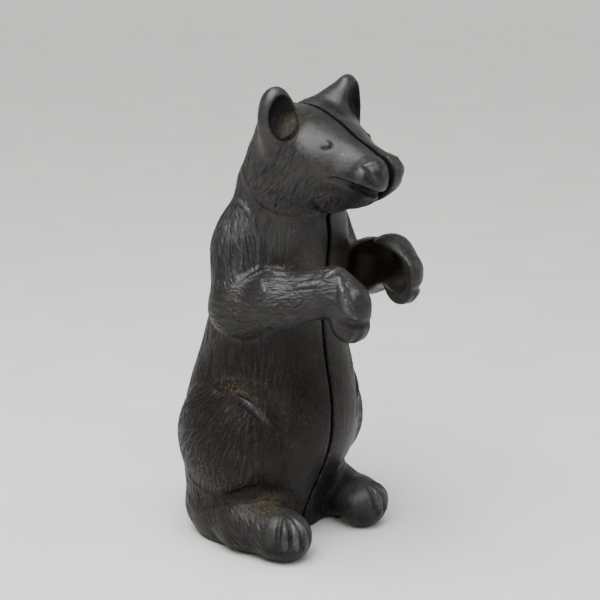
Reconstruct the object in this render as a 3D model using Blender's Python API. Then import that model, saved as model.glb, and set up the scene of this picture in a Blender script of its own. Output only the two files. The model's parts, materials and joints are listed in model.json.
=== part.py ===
"""A cast-iron bear nutcracker: two hollow half castings hinged at the back on one upright pin.

The bear sits upright, faces -Y and holds its forearms out in front. Its left side is +X.
The halves meet on the bear's middle plane and swing apart like a book, so a nut goes in
from the front, between the two ribbed jaws inside the belly.

Shapes are laid out in millimetres in the closed bear's own terms: out (sideways from the
middle plane, always positive), fwd (towards the bear's front) and up. place() turns them
into metres on either side, measured from the hinge's axis.
"""

import itertools
import math

import bmesh
import bpy
from mathutils import Matrix, Vector

MM = 0.001

# ---- driving dimensions (millimetres, degrees) ------------------------------------------
HINGE_FWD = -54.5        # hinge axis, behind the bear's middle
FRAME_FWD = -3.5         # centre of the bear's depth, where the frame's origin is
REST_OPEN = 0.75         # each half stands this far from closed, so a 1.5 degree gap shows
CLOSED_GAP = 0.15        # each half's rim stops this far from the middle plane
WALL = 4.2               # thickness of the castings
FLOOR = 5.0              # thickness of the base
LEFT_ARM_LIFT = 7.5      # the left forearm is held this much higher than the right one

PIN_R = 2.4
BORE_R = 2.7
BARREL_R = 5.4
RELIEF_R = 6.4           # groove that the other half's barrel turns in
PIN_HEAD_R = 4.2
PIN_HEAD_H = 2.2
BARREL_LOW = 30.0        # the barrel is three knuckles: right, left, right
BARREL_HIGH = 86.0
KNUCKLE = 14.0           # height of each of the two right knuckles
KNUCKLE_GAP = 0.4
ROOT_STEP = 0.6          # a knuckle's root stops this far short of its ends
ROOT_OUT = 8.4
ROOT_DEPTH = 13.0
RELIEF_LOW = -5.0        # the groove runs from below the table to past the barrel's top
RELIEF_PAST = 8.0
BORE_PAST = 6.0
# The pin's peened head: share of the head's radius and height at its flat and at its shoulder.
HEAD_FLAT = (0.7, 0.8)
HEAD_SHOULDER = (1.0, 0.3)

JAW_LOW = 50.0           # the ribbed pads that crack the nut
JAW_HIGH = 85.0
JAW_BACK = -40.0
JAW_FRONT = -12.0
JAW_OUT_BACK = 3.4       # pad face to middle plane at the back edge and at the front edge
JAW_OUT_FRONT = 7.4
JAW_THICK = 6.0
JAW_RIDGES = 6
RIDGE_DEPTH = 1.5
SHELF_THICK = 5.0        # the two shelves that carry each pad on the side wall
SHELVES = ((56.0, 5.2), (79.0, 0.0))   # height, and how far the wall bulges there

# Body at each height: up, front, back, half-width. The section is a rounded rectangle.
BODY = (
    (-12, -6.0, -44.0, 33.0), (0, -1.0, -48.0, 36.0), (12, 2.0, -51.5, 39.0),
    (25, 8.0, -55.0, 41.0), (45, 16.5, -57.5, 42.0), (60, 19.0, -57.3, 41.0),
    (75, 18.0, -54.0, 38.0), (90, 15.0, -49.0, 34.5), (107, 13.0, -43.0, 33.0),
    (120, 13.5, -38.5, 32.0), (136, 15.0, -34.0, 30.0), (150, 14.5, -31.0, 26.5),
    (163, 11.0, -27.0, 25.0), (174, 6.0, -23.0, 22.0), (183, -2.0, -17.0, 16.0),
)
BODY_POWER = 2.2         # 2 is an ellipse, more is squarer
BODY_STEP = 3.0          # height between two rings of the body

# Balls: centre (out, fwd, up), radii, lean forward and turn outward in degrees.
SKULL = ((0, 1.5, 183), (26.0, 22.5, 22.0), 0, 0)
BROW = ((0, 13, 185), (22.0, 22.0, 16.5), 20, 0)
CHEEK = ((13, 2, 174), (13.0, 17.0, 15.0), 0, 0)
SHOULDER = ((26, -9, 140), (14.5, 14.5, 22.0), -8, 0)
THIGH = ((30, -19, 51), (17.8, 27.0, 28.0), 0, 0)
TOES = ((26.5, 14.5, 11.0), (13.0, 13.5, 13.0), 0, 0)
EAR = ((22.5, 5.5, 202), (5.8, 9.5, 15.0), 0, -60)

# Limbs: a chain of (out, fwd, up, radius), each joined to the next by a tapered rod.
MUZZLE = ((0, 22, 181, 14.0), (0, 34, 179.5, 11.2), (3, 42.0, 178.5, 9.0))
JAW_BONE = ((0, 22, 174, 13.5), (0, 36, 171.5, 8.8), (1.5, 41, 171.5, 7.2))
EAR_ROOT = ((12, -1, 196, 10.0), (19, 3, 203, 7.0), (22.5, 5.5, 210, 5.2))
UPPER_ARM = ((30, -8, 142, 12.0), (35, -5, 118, 13.0))
FOREARM = ((35, -5, 118, 13.0), (31, 15, 124.5, 12.5), (19, 36.0, 129.5, 10.5))
PAW = ((19, 36.0, 129.5, 10.5), (16, 43.5, 125, 9.6), (15.5, 44, 116.5, 9.2))
LEFT_PAW = ((19, 36.0, 129.5, 10.0), (16.5, 43.5, 125, 9.2), (16, 45, 118.5, 8.4))
FOOT = ((24, -34, 13, 13.5), (29, -8, 12, 13.0), (27.5, 8, 11, 12.0))

ARM_HOLLOW = ((25.5, 25, 125.5, 7.0), (19.5, 34.5, 129, 5.8))
NECK_HOLLOW = ((8, -8, 165), (12.0, 13.0, 12.0), 0, 0)
LEG_HOLLOW = ((23.0, -29, 15.0, 9.0), (29.0, -10, 15.0, 9.0))
# The gap under each instep: (out, fwd, up, radius) of its inner and outer ends.
INSTEP_ARCH = ((8.0, 9.5, -0.9, 7.0), (26.0, 9.0, -0.9, 6.0))

VOXEL = 1.7              # grid of the outer skin
CORE_VOXEL = 2.4         # grid of the hollow
KEPT_FACES = 0.08        # share of the grid's faces that is kept
CORE_TOP = 165.0         # the body's hollow ends here, below the head's
ACROSS = 36.0            # a side hollow drawn this far reaches past the middle plane
WELD = 0.06              # corners closer than this become one


# ---- placing ----------------------------------------------------------------------------
def place(side, out, fwd, up):
    """A point of the closed bear, in metres from the hinge's axis. side is -1 or +1."""
    return Vector((side * out, HINGE_FWD - fwd, up)) * MM


def hinge_point():
    return Vector((0.0, (FRAME_FWD - HINGE_FWD) * MM, 0.0))


def between(table, up, column):
    """The table's column at a height, along a smooth curve through its rows."""
    rows = len(table)
    low = max(i for i in range(rows - 1) if table[i][0] <= up)
    a, b = table[low], table[low + 1]
    before = table[max(low - 1, 0)]
    after = table[min(low + 2, rows - 1)]
    t = (up - a[0]) / (b[0] - a[0])
    span = b[0] - a[0]
    slope_a = (b[column] - before[column]) / (b[0] - before[0]) * span
    slope_b = (after[column] - a[column]) / (after[0] - a[0]) * span
    rise = b[column] - a[column]
    curve = (slope_a + slope_b - 2 * rise) * t + (3 * rise - 2 * slope_a - slope_b)
    return a[column] + (curve * t + slope_a) * t


def wall_out(fwd, up):
    """How far out the body's side is at a place."""
    front, back, width = (between(BODY, up, column) for column in (1, 2, 3))
    along = abs(fwd - (front + back) / 2) / ((front - back) / 2)
    return width * (1 - along ** BODY_POWER) ** (1 / BODY_POWER)


# ---- solid lumps, added to a bmesh ------------------------------------------------------
def ball_points(side, ball, inset=0.0, segments=28):
    """Points all over an ellipsoid, made smaller all round by inset."""
    centre, radii, lean, turn = ball
    size = Matrix.Diagonal([(r - inset) * MM for r in radii] + [1.0])
    pose = Matrix.Rotation(math.radians(side * turn), 4, "Z")
    pose = pose @ Matrix.Rotation(math.radians(lean), 4, "X")
    whole = Matrix.Translation(place(side, *centre)) @ pose @ size
    points = [whole @ Vector((0, 0, 1)), whole @ Vector((0, 0, -1))]
    for row in range(1, segments // 2):
        tilt = 2 * math.pi * row / segments
        for k in range(segments):
            around = 2 * math.pi * k / segments
            across = math.sin(tilt)
            points.append(whole @ Vector(
                (across * math.cos(around), across * math.sin(around), math.cos(tilt))))
    return points


def add_hull(mesh, points):
    """The convex hull of the points, as a closed lump."""
    corners = [mesh.verts.new(point) for point in points]
    hull = bmesh.ops.convex_hull(mesh, input=corners)
    spare = {item for item in hull["geom_interior"] + hull["geom_unused"]
             if isinstance(item, bmesh.types.BMVert)}
    bmesh.ops.delete(mesh, geom=list(spare), context="VERTS")


def add_ball(mesh, side, ball, inset=0.0, drawn=0.0):
    """An ellipsoid, which drawn sweeps that far towards the middle plane."""
    points = ball_points(side, ball, inset)
    if drawn:
        out, fwd, up = ball[0]
        points += ball_points(side, ((out - drawn, fwd, up), *ball[1:]), inset)
    add_hull(mesh, points)


def add_chain(mesh, side, chain, inset=0.0, drawn=0.0, segments=20):
    """Tapered rods with round ends, from each (out, fwd, up, radius) to the next."""
    for pair in zip(chain, chain[1:]):
        points = []
        for out, fwd, up, radius in pair:
            for shift in {0.0, drawn}:
                ball = ((out - shift, fwd, up), (radius, radius, radius), 0, 0)
                points += ball_points(side, ball, inset, segments)
        add_hull(mesh, points)


def add_body(mesh, side, inset=0.0, low=None, high=None):
    """The body's rings joined into one closed barrel, made smaller all round by inset."""
    low = BODY[0][0] if low is None else low
    high = BODY[-1][0] if high is None else high
    steps = round((high - low) / BODY_STEP)
    count = 48
    rings = []
    for step in range(steps + 1):
        up = low + (high - low) * step / steps
        front = between(BODY, min(up, BODY[-1][0] - 0.01), 1) - inset
        back = between(BODY, min(up, BODY[-1][0] - 0.01), 2) + inset
        width = between(BODY, min(up, BODY[-1][0] - 0.01), 3) - inset
        ring = []
        for k in range(count):
            angle = 2 * math.pi * k / count
            across, along = math.cos(angle), math.sin(angle)
            power = 2 / BODY_POWER
            out = width * math.copysign(abs(across) ** power, across)
            fwd = (front + back) / 2 + (front - back) / 2 * math.copysign(abs(along) ** power, along)
            ring.append(mesh.verts.new(place(side, out, fwd, up)))
        rings.append(ring)
    for lower, upper in zip(rings, rings[1:]):
        for k in range(count):
            nxt = (k + 1) % count
            mesh.faces.new((lower[k], lower[nxt], upper[nxt], upper[k]))
    mesh.faces.new(rings[0])
    mesh.faces.new(rings[-1])


def add_block(mesh, side, corners):
    """A box from its low and high corners, each (out, fwd, up)."""
    add_hull(mesh, [place(side, out, fwd, up) for out, fwd, up in itertools.product(*zip(*corners))])


def extrude_up(mesh, side, outline, low, high):
    """A prism over an outline of (out, fwd) points."""
    face = mesh.faces.new([mesh.verts.new(place(side, out, fwd, low)) for out, fwd in outline])
    raised = bmesh.ops.extrude_face_region(mesh, geom=[face])["geom"]
    tops = [item for item in raised if isinstance(item, bmesh.types.BMVert)]
    bmesh.ops.translate(mesh, verts=tops, vec=(0, 0, (high - low) * MM))


def add_post(mesh, radius, low, high, segments=36):
    """An upright cylinder on the hinge's axis."""
    middle = Vector((0.0, 0.0, (low + high) / 2 * MM))
    bmesh.ops.create_cone(
        mesh, cap_ends=True, cap_tris=False, segments=segments,
        radius1=radius * MM, radius2=radius * MM, depth=(high - low) * MM,
        matrix=Matrix.Translation(middle))


# ---- objects ----------------------------------------------------------------------------
def finish(name, mesh, material=None):
    """Turns a bmesh into an object standing on the hinge's axis."""
    bmesh.ops.recalc_face_normals(mesh, faces=mesh.faces)
    data = bpy.data.meshes.new(name)
    mesh.to_mesh(data)
    mesh.free()
    thing = bpy.data.objects.new(name, data)
    thing.location = hinge_point()
    bpy.context.scene.collection.objects.link(thing)
    if material:
        data.materials.append(material)
    return thing


def as_cutter(thing, turn):
    thing.hide_render = True
    thing.display_type = "WIRE"
    thing.rotation_euler.z = turn
    return thing


def skin(thing, voxel, rounds, ratio):
    """Melts a heap of lumps into one smooth closed skin with few faces."""
    remesh = thing.modifiers.new("melt", "REMESH")
    remesh.mode = "VOXEL"
    remesh.voxel_size = voxel * MM
    smooth = thing.modifiers.new("soften", "SMOOTH")
    smooth.factor = 0.5
    smooth.iterations = rounds
    fewer = thing.modifiers.new("fewer_faces", "DECIMATE")
    fewer.ratio = ratio


def boolean(thing, operation, other, solver="EXACT"):
    step = thing.modifiers.new(other.name, "BOOLEAN")
    step.operation = operation
    step.solver = solver
    step.object = other


def join_close_corners(thing):
    """Merges the corners that a cut leaves almost on top of each other."""
    weld = thing.modifiers.new("join_close_corners", "WELD")
    weld.merge_threshold = WELD * MM


def material(name, colour, roughness, metallic):
    made = bpy.data.materials.new(name)
    made.use_nodes = True
    surface = made.node_tree.nodes["Principled BSDF"]
    surface.inputs["Base Color"].default_value = (*colour, 1.0)
    surface.inputs["Roughness"].default_value = roughness
    surface.inputs["Metallic"].default_value = metallic
    return made


def forearm_lift(chain, lift):
    """Raises a forearm's or paw's points; the elbow end stays and the bend takes half."""
    raised = []
    for out, fwd, up, radius in chain:
        share = 0.0 if fwd < 0 else (0.5 if fwd < 20 else 1.0)
        raised.append((out, fwd, up + lift * share, radius))
    return raised


def bear_side(name, side, lift, paw, iron):
    """The outer shape of one side of the bear, still solid and crossing the middle plane."""
    mesh = bmesh.new()
    add_body(mesh, side)
    for ball in (SKULL, BROW, CHEEK, SHOULDER, THIGH, TOES, EAR):
        add_ball(mesh, side, ball)
    for chain in (MUZZLE, JAW_BONE, EAR_ROOT, UPPER_ARM, FOOT):
        add_chain(mesh, side, chain)
    add_chain(mesh, side, forearm_lift(FOREARM, lift))
    add_chain(mesh, side, forearm_lift(paw, lift))
    thing = finish(name, mesh, iron)
    skin(thing, VOXEL, rounds=7, ratio=KEPT_FACES)
    return thing


def hollow(name, side):
    """What the sand core leaves empty: drawn straight in from the middle plane."""
    mesh = bmesh.new()
    add_body(mesh, side, inset=WALL, low=FLOOR, high=CORE_TOP)
    for ball in (SKULL, BROW):
        add_ball(mesh, side, ball, inset=WALL)
    for ball in (CHEEK, SHOULDER, THIGH):
        add_ball(mesh, side, ball, inset=WALL, drawn=ball[0][0] + 6)
    add_ball(mesh, side, NECK_HOLLOW, drawn=16.0)
    add_chain(mesh, side, MUZZLE[:2], inset=WALL)
    add_chain(mesh, side, UPPER_ARM, inset=WALL, drawn=ACROSS)
    add_chain(mesh, side, LEG_HOLLOW, drawn=32.0)
    thing = finish(name, mesh)
    skin(thing, CORE_VOXEL, rounds=3, ratio=KEPT_FACES)
    return thing


def arm_hollow(name, side, lift):
    """The scoop inside a forearm, open towards the middle plane."""
    mesh = bmesh.new()
    chain = forearm_lift(ARM_HOLLOW, lift)
    add_chain(mesh, side, chain, drawn=32.0, segments=14)
    return finish(name, mesh)


def instep_arch(name, side):
    mesh = bmesh.new()
    add_chain(mesh, side, INSTEP_ARCH, segments=14)
    return finish(name, mesh)


def half_space(name, side):
    """Everything on one side of the middle plane and above the table."""
    mesh = bmesh.new()
    add_block(mesh, side, ((CLOSED_GAP, -90.0, 0.0), (80.0, 80.0, 240.0)))
    return finish(name, mesh)


def jaw(name, side):
    """A ribbed pad, slanted like a half-open V, on two shelves from the side wall."""
    mesh = bmesh.new()
    outline = []
    for k in range(JAW_RIDGES * 2 + 1):
        t = k / (JAW_RIDGES * 2)
        fwd = JAW_BACK + (JAW_FRONT - JAW_BACK) * t
        face = JAW_OUT_BACK + (JAW_OUT_FRONT - JAW_OUT_BACK) * t
        outline.append((face + (RIDGE_DEPTH if k % 2 else 0.0), fwd))
    outline.append((JAW_OUT_FRONT + JAW_THICK, JAW_FRONT))
    outline.append((JAW_OUT_BACK + JAW_THICK, JAW_BACK))
    extrude_up(mesh, side, outline, JAW_LOW, JAW_HIGH)
    return finish(name, mesh)


def jaw_shelf(name, side, level, bulge):
    """A shelf from the back of the pad to the middle of the side wall."""
    mesh = bmesh.new()
    steps = 6
    back, front = JAW_BACK + 2.0, JAW_FRONT - 2.0
    outline = [(JAW_OUT_BACK + JAW_THICK / 2 + 1.0, back), (JAW_OUT_FRONT + JAW_THICK / 2, front)]
    for k in range(steps + 1):
        fwd = front + (back - front) * k / steps
        outline.append((wall_out(fwd, level) + bulge - WALL / 2, fwd))
    extrude_up(mesh, side, outline, level - SHELF_THICK / 2, level + SHELF_THICK / 2)
    return finish(name, mesh)


def knuckle_root(name, side, low, high):
    """The block that ties a stretch of the barrel to the casting."""
    mesh = bmesh.new()
    add_block(mesh, side, (
        (CLOSED_GAP, HINGE_FWD, low + ROOT_STEP),
        (ROOT_OUT, HINGE_FWD + ROOT_DEPTH, high - ROOT_STEP)))
    return finish(name, mesh)


def post(name, radius, low, high):
    mesh = bmesh.new()
    add_post(mesh, radius, low, high)
    return finish(name, mesh)


def make_half(label, side, lift, paw, knuckles, iron):
    """One half casting, standing slightly open on the hinge."""
    turn = math.radians(side * REST_OPEN)
    half = bear_side(label + "_half", side, lift, paw, iron)
    half.rotation_euler.z = turn
    boolean(half, "INTERSECT", as_cutter(half_space(label + "_side_of_plane", side), turn))
    join_close_corners(half)
    for cutter in (hollow(label + "_hollow", side), arm_hollow(label + "_arm_hollow", side, lift)):
        boolean(half, "DIFFERENCE", as_cutter(cutter, turn))
    # From here on the cuts graze a thin, many-faced shell, which only MANIFOLD keeps closed.
    arch = instep_arch(label + "_instep_arch", side)
    boolean(half, "DIFFERENCE", as_cutter(arch, turn), "MANIFOLD")
    groove = post(label + "_barrel_groove", RELIEF_R, RELIEF_LOW, BARREL_HIGH + RELIEF_PAST)
    boolean(half, "DIFFERENCE", as_cutter(groove, turn), "MANIFOLD")
    join_close_corners(half)
    fittings = [jaw(label + "_jaw", side)]
    for i, (level, bulge) in enumerate(SHELVES):
        fittings.append(jaw_shelf("%s_shelf_%d" % (label, i + 1), side, level, bulge))
    for i, (low, high) in enumerate(knuckles):
        fittings.append(knuckle_root("%s_root_%d" % (label, i + 1), side, low, high))
        fittings.append(post("%s_knuckle_%d" % (label, i + 1), BARREL_R, low, high))
    for fitting in fittings:
        boolean(half, "UNION", as_cutter(fitting, turn), "MANIFOLD")
    bore = post(label + "_bore", BORE_R, BARREL_LOW - BORE_PAST, BARREL_HIGH + BORE_PAST)
    boolean(half, "DIFFERENCE", as_cutter(bore, turn), "MANIFOLD")
    return half


def make_pin(steel):
    """The hinge pin, peened over at both ends."""
    mesh = bmesh.new()
    neck = BARREL_LOW - KNUCKLE_GAP
    profile = [(0.0, neck - PIN_HEAD_H)]
    for across, down in (HEAD_FLAT, HEAD_SHOULDER):
        profile.append((PIN_HEAD_R * across, neck - PIN_HEAD_H * down))
    profile.append((PIN_HEAD_R, neck))
    profile.append((PIN_R, neck))
    middle = (BARREL_LOW + BARREL_HIGH) / 2
    profile += [(radius, 2 * middle - up) for radius, up in reversed(profile)]
    points = [mesh.verts.new((radius * MM, 0.0, up * MM)) for radius, up in profile]
    edges = [mesh.edges.new(pair) for pair in zip(points, points[1:])]
    bmesh.ops.spin(
        mesh, geom=points + edges, cent=(0, 0, 0), axis=(0, 0, 1),
        angle=2 * math.pi, steps=36, use_merge=True)
    bmesh.ops.remove_doubles(mesh, verts=mesh.verts, dist=0.00001)
    pin = finish("hinge_pin", mesh, steel)
    pin.data.shade_smooth()
    pin.data.set_sharp_from_angle(angle=math.radians(35))
    return pin


def main():
    for old in list(bpy.data.objects):
        bpy.data.objects.remove(old, do_unlink=True)
    iron = material("cast_iron", (0.028, 0.026, 0.026), 0.42, 0.75)
    steel = material("steel_pin", (0.20, 0.19, 0.18), 0.38, 0.9)
    lower = (BARREL_LOW, BARREL_LOW + KNUCKLE)
    upper = (BARREL_HIGH - KNUCKLE, BARREL_HIGH)
    centre = (lower[1] + KNUCKLE_GAP, upper[0] - KNUCKLE_GAP)
    make_half("right", -1, 0.0, PAW, [lower, upper], iron)
    make_half("left", 1, LEFT_ARM_LIFT, LEFT_PAW, [centre], iron)
    make_pin(steel)


main()
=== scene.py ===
"""The looks of the cast-iron bear nutcracker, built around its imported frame.

Each half casting is modelled as a field of distances in millimetres: balls and tapered rods
that melt into each other, less the core's hollow, with the jaw, shelves and knuckles added.
The field is meshed on a fine grid, and hair strokes are then cut into the skin as grooves.

Places are (out, fwd, up) in the closed bear's own terms: out is sideways from the middle
plane, fwd is towards the bear's front, and up is above the table. The bear faces -Y.
"""
import math

import bpy
import numpy as np
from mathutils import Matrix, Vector
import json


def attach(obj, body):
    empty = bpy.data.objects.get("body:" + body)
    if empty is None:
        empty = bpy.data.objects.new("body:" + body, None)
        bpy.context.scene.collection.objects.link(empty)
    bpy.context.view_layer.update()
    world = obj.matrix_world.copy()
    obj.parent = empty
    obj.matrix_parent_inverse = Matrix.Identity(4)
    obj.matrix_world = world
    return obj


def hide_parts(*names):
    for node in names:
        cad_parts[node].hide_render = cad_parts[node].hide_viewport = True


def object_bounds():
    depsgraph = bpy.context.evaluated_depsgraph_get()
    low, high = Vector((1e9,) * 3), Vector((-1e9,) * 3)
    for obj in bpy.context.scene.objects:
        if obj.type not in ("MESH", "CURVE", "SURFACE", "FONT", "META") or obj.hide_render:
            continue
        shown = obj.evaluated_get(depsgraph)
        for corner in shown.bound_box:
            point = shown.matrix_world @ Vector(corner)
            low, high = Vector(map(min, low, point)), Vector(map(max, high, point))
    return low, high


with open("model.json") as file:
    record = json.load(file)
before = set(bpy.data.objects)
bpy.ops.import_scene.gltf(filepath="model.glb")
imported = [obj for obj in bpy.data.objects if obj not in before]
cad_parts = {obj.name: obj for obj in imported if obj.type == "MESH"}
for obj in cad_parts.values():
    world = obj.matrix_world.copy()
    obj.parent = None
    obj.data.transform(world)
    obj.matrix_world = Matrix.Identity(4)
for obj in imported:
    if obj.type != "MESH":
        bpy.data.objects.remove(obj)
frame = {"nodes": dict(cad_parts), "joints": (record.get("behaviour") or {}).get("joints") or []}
CAD_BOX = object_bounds()
JOINT = next(j for j in frame["joints"] if j["name"] == "back_hinge")

MM = 0.001
REAL = np.float32
TINY = 1e-6

# ---- the castings (millimetres, degrees)
HINGE_FWD = -54.5
REST_OPEN = 0.75
RIM_OUT = 0.15           # the rims stop this far from the middle plane
RIM_FRONT = -20.0        # the rims forward of this show chipped wear, and painted shade along them on the head
WALL = 4.2
FLOOR = 5.0
CORE_TOP = 165.0         # the body's hollow ends here, and the head's goes on

BORE_R = 2.7
BARREL_R = 5.4
RELIEF_R = 6.4
RELIEF_HIGH = 94.0
ROOT_OUT = 8.4
ROOT_FRONT = -41.5
ROOT_STEP = 0.6
RIGHT_KNUCKLES = ((30, 44), (72, 86))
LEFT_KNUCKLES = ((44.4, 71.6),)

JAW_LOW, JAW_HIGH = 50, 85
JAW_BACK, JAW_FRONT = -40, -12
JAW_OUT_BACK, JAW_OUT_FRONT = 3.4, 7.4
JAW_THICK = 6
JAW_RIDGES = 6
RIDGE_DEPTH = 1.5
SHELF_THICK = 5
SHELF_LEVELS = (56, 79)
SHELF_BACK, SHELF_FRONT = -38, -14

# Body at each height: up, front, back, half-width.
BODY = np.array((
    (-12, -6, -44, 33), (0, -1, -48, 36), (12, 2, -51.5, 39),
    (25, 8, -55, 41), (45, 16.5, -57.5, 42), (60, 19, -57.3, 41),
    (75, 18, -54, 38), (90, 15, -49, 34.5), (107, 13, -43, 33),
    (120, 13.5, -38.5, 32), (136, 15.8, -34, 29.5), (150, 16.5, -31, 26.5),
    (163, 12, -28.5, 26.2), (174, 6, -25.5, 23.5), (183, -2, -19.5, 17),
))
BODY_POWER = 2.2
BODY_TOP = 184

# Balls: centre, radii, lean forward and turn outward in degrees.
SKULL = ((0, 1.5, 183), (26, 22.5, 22), 0, 0)
BROW = ((0, 13, 185), (23.3, 22.3, 16.8), 20, 0)
CHEEK = ((13, 2, 174), (13, 17, 15), 0, 0)
SHOULDER = ((26, -11.5, 140), (14.5, 11.5, 22), -8, 0)
THIGH = ((30, -19, 51), (17.8, 27, 28), 0, 0)
TOES = ((26.2, 13.9, 10.6), (12.5, 13, 11.8), 0, 0)
EAR = ((22.9, 6.4, 201.5), (5.7, 8.7, 14.6), 0, -75)
EAR_CUP = ((23.9, 13.3, 204), (6.2, 7.7, 10.2), 6, -76)
TEMPLE = ((14.5, 3.5, 191.5), (11, 11, 10.5), 0, 0)

# How softly each part melts into the body.
HEAD_SOFT, EAR_SOFT, SHOULDER_SOFT = 8, 6, 9
ARM_SOFT, THIGH_SOFT, FOOT_SOFT = 6, 3.2, 4.5

# Limbs: chains of (out, fwd, up, radius).
MUZZLE = ((0, 22, 181, 14), (0, 34, 179.7, 11.7), (3, 42.6, 179, 9.4))
JAW_BONE = ((0, 21, 172.3, 13.5), (0, 32.5, 172.4, 8.9), (1.5, 40, 173, 6.2))
EAR_ROOT = ((12, 0, 197.5, 10.2), (19.2, 3.4, 204.2, 7.2), (22.9, 5.5, 209.4, 4.6))
UPPER_ARM = ((29, -11.5, 141, 10.8), (35, -5, 118, 13))
FOREARM = ((35, -5, 118, 13), (31, 15, 123.8, 12.2), (19, 36, 129.5, 10.5))
RIGHT_PAW = ((19, 36, 129.5, 10.5), (16, 43.5, 125, 9.6), (15.5, 44, 116.5, 9.2))
LEFT_PAW = ((19, 36, 129.5, 10), (16.5, 43.5, 125, 9.2), (16, 45, 118.5, 8.4))
LEFT_ARM_LIFT = 7.5
FOOT = ((24, -34, 13, 13.5), (29, -8, 12, 13), (27.5, 8, 11, 12))

SCOOP = ((25, 14, 124, 9.9), (21.5, 25, 126.6, 9.7), (18, 33.5, 127.6, 8),
         (17, 40, 126.8, 6.7), (16.3, 43, 121.8, 5.3))
PAW_FACET_OUT = 12.4     # the paw's inner side is cut flat this far out
PAW_FACET_FWD = 27
PAW_FACET_LOW, PAW_FACET_HIGH = 95, 152
NECK_HOLLOW = ((8, -8, 165), (12, 13, 12), 0, 0)
LEG_HOLLOW = ((23, -29, 15, 9), (29, -10, 15, 9))
INSTEP_ARCH = ((8, 9.5, -0.9, 7), (26, 9, -0.9, 6))

# Raised and sunken details, drawn over the skin: +1 or -1, the height of the rod's centre
# over the skin, softness, whether they rise with the arm, and the rod's (out, fwd, up, radius).
DETAILS = (
    # the haunch: a valley round it, its swollen front edge, and the sharp knee ridge
    (-1, 1.4, 3.2, False, ((40, -16, 79, 2.2), (37, -7, 80.5, 2.8), (32, 2, 79, 3),
        (28, 8.5, 73, 2.8), (25.5, 11.5, 65, 2.4), (24.5, 12.5, 56, 1.8))),
    (+1, -0.5, 1.6, False, ((33.8, -5.8, 75, 0.6), (32.2, -2.6, 73.4, 1.4), (30.2, 1, 70.4, 1.7),
        (27.8, 4.4, 66, 1.4), (26.8, 5.8, 63.2, 0.6))),
    # the crease between belly and foot
    (-1, 1.2, 4, False, ((40.5, -14, 24, 1.2), (37.8, -4.2, 29.2, 1.8), (33.9, 1.6, 31.6, 2.2),
        (25.4, 5.1, 29.8, 2.2), (14.7, 7.1, 25.4, 1.8), (6.1, 4.6, 18, 1.4))),
    # short folds in the crook of the elbow
    (+1, -0.45, 1, True, ((38, 12, 134, 0.8), (40.2, 15, 132.6, 1.3), (41.6, 18, 130.5, 0.8))),
    (+1, -0.45, 1, True, ((31.3, 9, 137, 0.8), (33, 14, 137.4, 1.3), (31, 19.5, 137.8, 0.8))),
    # worn knuckles at the wrist, and the ridge down the back of the paw
    (+1, -0.25, 1.2, True, ((33.5, 28, 133.4, 0.7), (31, 33, 135.2, 1.4), (28.6, 36.6, 135.4, 1))),
    (+1, -0.25, 1.2, True, ((26.5, 38.3, 137.8, 0.8), (23, 39.8, 139.6, 1.5), (19.5, 39.6, 140.4, 0.8))),
    (+1, -0.2, 1.3, True, ((22.5, 43, 137.4, 1), (24.6, 47, 132.5, 1.6), (24.6, 50, 126.5, 1.8),
        (22.6, 52.2, 121.5, 1.2))),
    # the fold above the fingers, and the grooves between them
    (-1, 0.7, 1.4, True, ((27.6, 43.5, 126, 0.7), (26.4, 47, 120.5, 1.4), (22, 52, 118.2, 1.7),
        (14, 54, 118, 1.4))),
    (-1, 0.8, 1.2, True, ((19.5, 53, 115.5, 0.9), (19.8, 51, 110.5, 1.3), (19.5, 47, 107.5, 0.9))),
    (-1, 0.8, 1.2, True, ((14.6, 53.6, 115.5, 0.9), (14.6, 51.6, 110.5, 1.3), (15, 47, 107.5, 0.9))),
)
TOE_TURNS = (-16, 10, 34, 60)   # degrees from straight ahead, outward
TOE_RIDGES = (-3, 22, 47)
TOE_GROOVE = ((62, 0.7), (42, 1.5), (18, 1.6), (-8, 1))   # degrees up, radius

EYE = (13, 27.3, 192.4)
EYE_R = 2.1
SOCKET_DEEP = 0.6        # how deep the crescent under the eye is
NOSE = ((3.4, 46, 181.4), (5.8, 5.2, 5.2), 0, 0)
NOSTRIL = ((11, 45, 184.4, 0.5), (10.4, 47.6, 182.2, 1.2), (9.6, 48.8, 179.4, 1.5),
           (7.6, 49.8, 177.2, 0.9))
NOSE_EDGES = (
    ((10.8, 45.4, 185.6, 0.4), (8.6, 47.4, 186.2, 0.8), (5.4, 48.8, 186.4, 0.5)),
    ((9.2, 48.6, 184, 0.4), (8.4, 50, 181.8, 0.9), (7.4, 50.8, 179.4, 0.5)),
    ((6.2, 50.2, 184.4, 0.4), (5.2, 51.4, 182, 0.9), (4.6, 51.8, 179.6, 0.5)),
)
UPPER_LIP = ((13, 31, 180.4, 2.4), (12, 37, 179.6, 3.8), (10.2, 42, 179.4, 3.6))
MOUTH = ((14, 29, 178.2, 0.5), (13.4, 33, 177.6, 1.1), (12.2, 38, 176, 1.6),
         (10.6, 42.8, 175, 2.5), (7.6, 46, 173.8, 2.6), (3, 47.4, 172.2, 2.1), (0, 47.6, 171.8, 2.1))

# ---- meshing and hair
FINE = 0.56
COARSE_STEPS = 4
GRID_LOW = (-7.0, -66.0, -3.0)
GRID_HIGH = (52.5, 63.0, 220.0)
CHUNK = 120000
TRIANGLES = 190000
STROKES = 5600
STROKE_STEP = 0.7
SMOOTH_RIM = 0.6         # no hair is cut this close to the middle plane
MARK_REACH = 1.9         # in widths of the mark
MARK_CELL = 1.9          # millimetres: no mark reaches past the next cell
MARK_SHIFT = 512         # keeps the cells' numbers above zero
MARK_BASE = 4096         # more than the cells along any side
SEED = 11


# ---- distances
def unit(values):
    return np.clip(values, 0.0, 1.0)


def size_of(vectors):
    """The lengths of vectors whose parts are rows, never quite zero."""
    return np.sqrt((vectors ** 2).sum(0)) + TINY


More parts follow.
